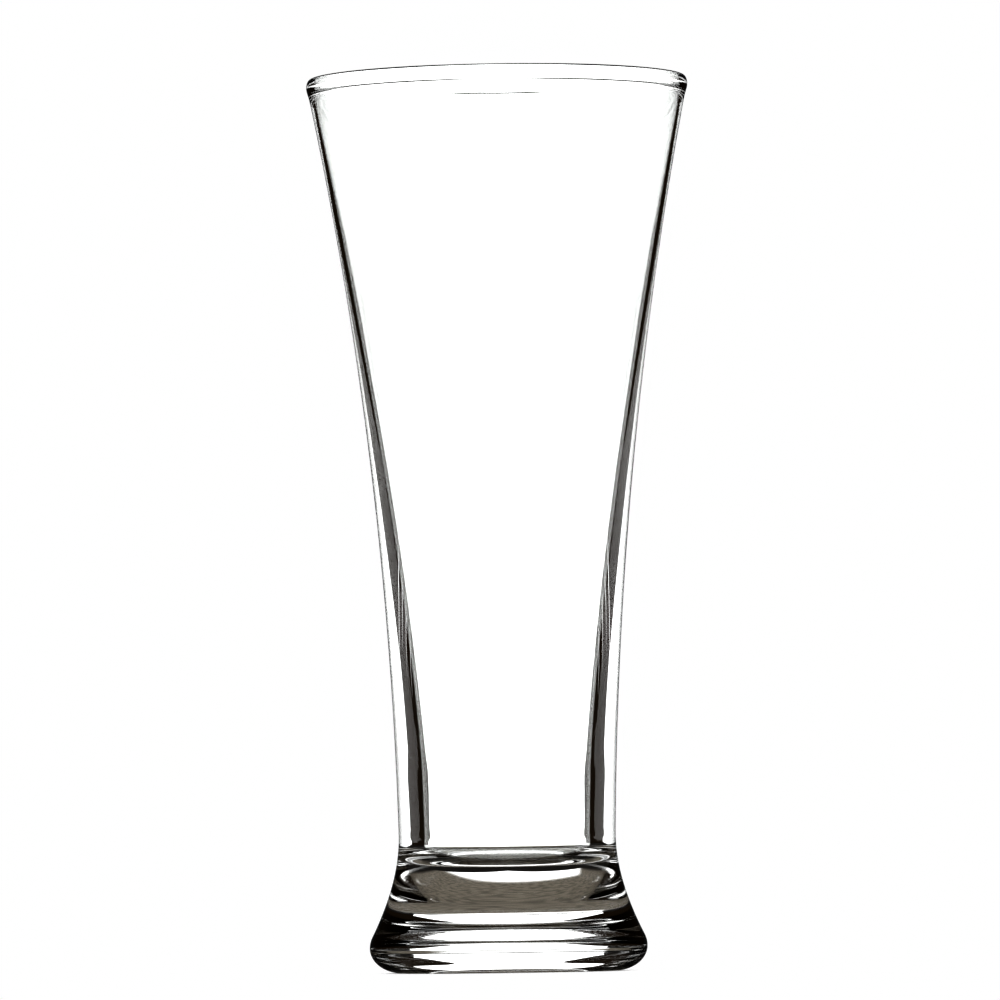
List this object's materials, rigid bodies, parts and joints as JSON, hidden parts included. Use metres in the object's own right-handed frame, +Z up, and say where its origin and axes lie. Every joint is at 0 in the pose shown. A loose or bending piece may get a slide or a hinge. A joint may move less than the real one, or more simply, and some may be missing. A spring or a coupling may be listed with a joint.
{
  "type": "pilsner glass",
  "caption": "Tall flared pilsner glass with a beaded fire-polished lip, a wall that thickens towards a heavy round foot, and a shallow hollow under the foot.",
  "frame": {"origin": "middle of the flat ring that the glass stands on, at table height", "axes": "+Z up along the axis of the glass, from the foot to the lip; the glass is round, so +X and +Y are free"},
  "size_m": [0.0768, 0.0768, 0.18],
  "materials": {
    "glass": "clear, fire-polished soda-lime glass with a faint cool tint in thick sections"
  },
  "bodies": {
    "root": {"rim": "glass", "bowl": "glass", "foot": "glass"}
  },
  "joints": []
}
